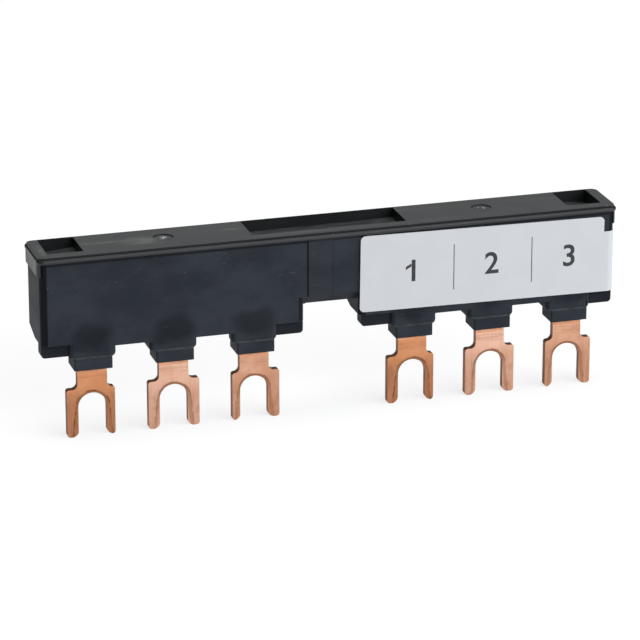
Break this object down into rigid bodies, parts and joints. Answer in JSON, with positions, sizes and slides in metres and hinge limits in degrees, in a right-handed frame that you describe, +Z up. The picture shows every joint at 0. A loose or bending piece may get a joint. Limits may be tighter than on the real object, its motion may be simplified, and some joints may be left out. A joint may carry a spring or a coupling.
{
  "type": "comb busbar",
  "caption": "Insulated comb busbar that feeds neighbouring three-pole breakers through downward copper forks, with a moulded housing, a cover and a white label.",
  "frame": {"origin": "under the middle of the box, level with the tips of the forks", "axes": "+X along the length, towards the label's end; -Y is the front, the side with the forks and label; +Z up, from the fork tips to the flat top"},
  "size_m": [0.098, 0.0108, 0.031],
  "materials": {
    "housing_plastic": "fine matt moulded near-black",
    "cover_plastic": "satin moulded black with flow streaks",
    "copper": null,
    "insulator": "plain sheet",
    "label": "white film, blank"
  },
  "bodies": {
    "root": {"housing": "housing_plastic", "cover": "cover_plastic", "bar_pole_1": "copper", "bar_pole_2": "copper", "bar_pole_3": "copper", "insulator_front": "insulator", "insulator_rear": "insulator", "label": "label"}
  },
  "joints": []
}
